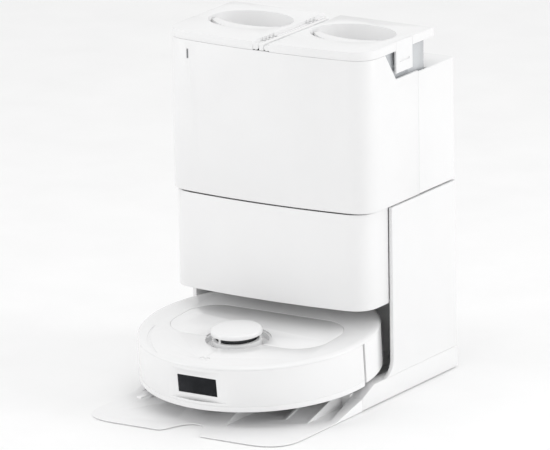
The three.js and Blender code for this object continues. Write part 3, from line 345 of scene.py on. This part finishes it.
def plain_finishes():
    """Hidden and small CAD nodes keep their own mesh and get their material."""
    finishes = {
        CHASSIS: ("robot_chassis",),
        DARK: ("lidar_turret", "suction_motor", "power_inlet", "wheel_arm_left",
               "wheel_arm_right", "fan_motor"),
        GREY: ("battery", "water_pump", "control_board", "caster_fork", "main_brush", "mop_carrier"),
        RUBBER: ("foot_front_left", "foot_front_right", "foot_rear_left", "foot_rear_right",
                 "clean_lid_seal", "dirty_lid_seal", "caster_wheel", "wheel_left", "wheel_right"),
        STEEL: ("charge_contact_left", "charge_contact_right", "clean_hinge_pin", "dirty_hinge_pin"),
        TANK: ("dustbin",),
        LIGHT: ("status_light",),
        INNER: ("side_brush",),
    }
    for material, nodes in finishes.items():
        for node in nodes:
            mesh = frame["nodes"][node].data
            mesh.materials.clear()
            mesh.materials.append(material)


def robot_mouldings():
    refined("robot_shell", ROBOT_WHITE, "shell_white", width=0.0016, segments=4)
    refined("robot_bumper", ROBOT_WHITE, "shell_white", width=0.0010, segments=3)
    refined("top_cover", ROBOT_WHITE, "shell_white", width=0.0003, segments=2)
    refined("lidar_cap", ROBOT_WHITE, "shell_white", width=0.0012, segments=3)
    refined("camera_window", GLASS, "black_gloss", width=0.0004, segments=2)
    refined("power_button", ROBOT_WHITE, "shell_white", width=0.0005, segments=2)
    refined("home_button", ROBOT_WHITE, "shell_white", width=0.0005, segments=2)


# ---- Soft parts, sculpted
BAG_MIDDLE = Vector((-0.068, 0.071, 0.207))
BAG_HALF = Vector((0.0712, 0.0525, 0.0542))
BAG_CORNER = 0.024
BAG_FULLNESS = 2.7  # power of the bulge: 2 is round, more is boxier
BAG_WIDTH = 0.955  # of the seam's outline
COLLAR_X = (-0.1095, -0.0265)
COLLAR_Y = (0.1225, 0.1325)
COLLAR_Z = (0.1745, 0.2435)
COLLAR_CORNER = 0.006
PAD_X = 0.062
PAD_Y = 0.096
PAD_SIDES = 216
PAD_TUFTS = 54
PAD_TUFT_DEPTH = 0.7  # mm, as are the next three
PAD_TUFT_TOP = 5
PAD_RIM_START = 46
PAD_RIM_RUN = 12


def dust_bag():
    """A filled fleece bag: two panels sewn and puckered round the edge, on a card collar."""
    middle = BAG_MIDDLE
    half_x, half_y, half_z = BAG_HALF
    outline = rounded_rect(-half_x, half_x, -half_z, half_z, BAG_CORNER)
    levels = [-0.999, -0.985, -0.95, -0.88, -0.76, -0.6, -0.42, -0.24, -0.1, -0.035]
    profile = [
        (t, BAG_WIDTH * (1 - abs(t) ** BAG_FULLNESS) ** (1 / BAG_FULLNESS)) for t in levels
    ]
    seam = [(-0.016, 0.958), (-0.012, 1.0), (0.012, 1.0), (0.016, 0.958)]
    profile = profile + seam + [(-t, scale) for t, scale in reversed(profile)]
    count = len(outline)
    loops = []
    for t, scale in profile:
        loop = []
        for i, (x, z) in enumerate(outline):
            turn = 2 * math.pi * i / count
            pucker = math.sin(13 * turn) + 0.6 * math.sin(29 * turn + 1.1)
            near = math.exp(-abs(t) * 3.4) if scale < 1 else 0.0
            inset = 1 - 0.011 * near * (1.6 + pucker)
            sag = 0.0022 * math.sin(3 * turn + 2.2 * t) * (1 - abs(t)) * (1 if scale < 1 else 0)
            depth = half_y * t * (1 - 0.02 * (1 + math.sin(5 * turn)) * (1 - scale))
            loop.append(
                (
                    middle.x + x * scale * inset,
                    middle.y + depth,
                    middle.z + z * scale * inset - abs(sag),
                )
            )
        loops.append(loop)
    bag = new_piece(
        "dust_bag_fleece", mesh_from(loft(loops), "dust_bag_fleece"), BAG, BODY_OF["dust_bag"],
        "bag_fabric", "dust_bag",
    )
    collar = rounded_rect(*COLLAR_X, *COLLAR_Z, COLLAR_CORNER)
    rings = [[(x, y, z) for x, z in collar] for y in COLLAR_Y]
    new_piece(
        "dust_bag_collar", mesh_from(loft(rings), "dust_bag_collar"), CARD, BODY_OF["dust_bag"],
        "bag_fabric", "dust_bag",
    )


def mop_pads():
    """Round microfibre pads: tufted rim, bound edge, a stitched ring and a napped face underneath."""
    profile = [
        (0.5, 1.2), (14, 0.9), (34, 0.75), (49, 0.8), (54, 1.1), (56.6, 2.0), (57.6, 3.2), (57.2, 4.4),
        (55.8, 5.6), (54.0, 6.3), (52.4, 6.1), (51.6, 5.5), (50.8, 6.0), (48.6, 6.4),
        (30, 6.5), (0.5, 6.5),
    ]
    for side in ("left", "right"):
        node = "mop_pad_" + side
        low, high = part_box(node)
        x = math.copysign(PAD_X, low[0] + high[0])
        loops = []
        for radius, height in profile:
            loop = []
            for i in range(PAD_SIDES):
                turn = 2 * math.pi * i / PAD_SIDES
                rim = max(0.0, (radius - PAD_RIM_START) / PAD_RIM_RUN) * (height < PAD_TUFT_TOP)
                tuft = 0.5 * (1 + math.cos(PAD_TUFTS * turn)) * rim
                wave = 0.12 * math.sin(7 * turn + radius * 0.2) * (height < 2)
                r = (radius - PAD_TUFT_DEPTH * tuft) * MM
                across, along = r * math.cos(turn), r * math.sin(turn)
                loop.append((x + across, PAD_Y + along, (height + wave) * MM))
            loops.append(loop)
        builder = place(loft(loops), ROBOT)
        pad = new_piece(
            node + "_cloth", mesh_from(builder, node + "_cloth"), MOP, BODY_OF[node], "mop_fabric", node
        )


# ---- Stage: floor, lights and camera
WORLD_STRENGTH = 0.87
LAMP_SIZE = 2.0
LAMPS = {  # name: (place, aim, watts)
    "key": ((3.1, 1.2, 1.5), (0, 0, 0.25), 25.0),
    "fill": ((-2.6, -2.0, 1.3), (0, 0, 0.25), 14.0),
    "top": ((0.3, -0.6, 3.2), (0, 0, 0.3), 10.0),
}
CAMERA_AZIMUTH = math.radians(32.148)
CAMERA_ELEVATION = math.radians(15.115)
CAMERA_ROLL = math.radians(-0.879)
CAMERA_DISTANCE = 11.338
CAMERA_LENS = 513.8
CAMERA_AIM = Vector((0.0, 0.1185, 0.260))
CAMERA_OFFSET = (-0.0521, -0.0376)  # of the aim, to the right and up in the picture


def stage():
    bpy.context.scene.view_settings.view_transform = "Standard"
    bpy.ops.mesh.primitive_plane_add(size=14.0, location=(0, 2.0, 0))
    floor = bpy.context.object
    floor.name = "floor"
    pale = moulded_plastic("floor_pale", (0.95, 0.95, 0.95), 0.7, bump=0.0)
    floor.data.materials.append(pale)
    world = bpy.data.worlds.new("studio")
    world.use_nodes = True
    background = world.node_tree.nodes["Background"]
    background.inputs["Color"].default_value = (1.0, 1.0, 1.0, 1)
    background.inputs["Strength"].default_value = WORLD_STRENGTH
    bpy.context.scene.world = world
    for name, (spot, target, power) in LAMPS.items():
        lamp(name, spot, target, LAMP_SIZE, power)


def lamp(name, spot, target, size, power):
    light = bpy.data.lights.new(name, "AREA")
    light.shape = "DISK"
    light.size = size
    light.energy = power
    lamp_object = bpy.data.objects.new(name, light)
    bpy.context.scene.collection.objects.link(lamp_object)
    lamp_object.location = spot
    aim = Vector(target) - Vector(spot)
    lamp_object.rotation_euler = aim.to_track_quat("-Z", "Y").to_euler()


def camera():
    """The photograph's long lens, from the right of the front and a little above."""
    azimuth, elevation, roll = CAMERA_AZIMUTH, CAMERA_ELEVATION, CAMERA_ROLL
    back = Vector(
        (
            math.sin(azimuth) * math.cos(elevation),
            -math.cos(azimuth) * math.cos(elevation),
            math.sin(elevation),
        )
    )
    level = Vector((math.cos(azimuth), math.sin(azimuth), 0.0))
    above = back.cross(level)
    right = math.cos(roll) * level + math.sin(roll) * above
    up = math.cos(roll) * above - math.sin(roll) * level
    aim = CAMERA_AIM + right * CAMERA_OFFSET[0] + up * CAMERA_OFFSET[1]
    spot = aim + back * CAMERA_DISTANCE
    data = bpy.data.cameras.new("camera")
    data.sensor_width = 36.0
    data.lens = CAMERA_LENS
    data.clip_end = 40.0
    view = bpy.data.objects.new("camera", data)
    bpy.context.scene.collection.objects.link(view)
    view.matrix_world = Matrix(
        (
            (right.x, up.x, back.x, spot.x),
            (right.y, up.y, back.y, spot.y),
            (right.z, up.z, back.z, spot.z),
            (0, 0, 0, 1),
        )
    )
    bpy.context.scene.camera = view


camera()
stage()
station_mouldings()
robot_mouldings()
plain_finishes()
dust_bag()
mop_pads()
